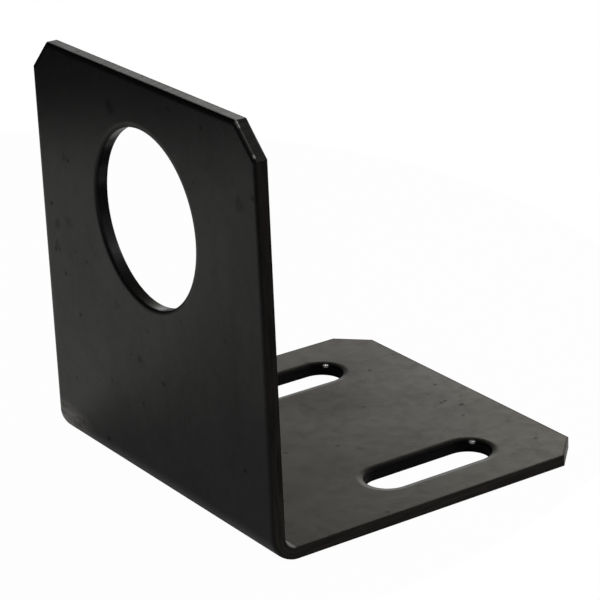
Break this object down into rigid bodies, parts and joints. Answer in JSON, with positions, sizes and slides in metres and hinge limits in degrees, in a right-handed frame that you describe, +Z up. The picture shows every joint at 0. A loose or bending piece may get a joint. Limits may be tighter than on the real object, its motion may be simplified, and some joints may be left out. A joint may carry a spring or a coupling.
{
  "type": "right-angle sensor bracket",
  "caption": "Sheet-steel bracket folded to a right angle: an upright with a round hole for a threaded sensor barrel, and a slotted base that bolts down.",
  "frame": {"origin": "middle of the bracket's footprint, on the underside of the base", "axes": "+Z up the upright; +Y from the upright along the base to its free end, and along the sensor hole; +X across the width, to the right seen from the front"},
  "size_m": [0.0682, 0.0646, 0.073],
  "materials": {
    "black_steel": "satin black coat on sheet steel"
  },
  "bodies": {
    "root": {"bracket": "black_steel"}
  },
  "joints": []
}
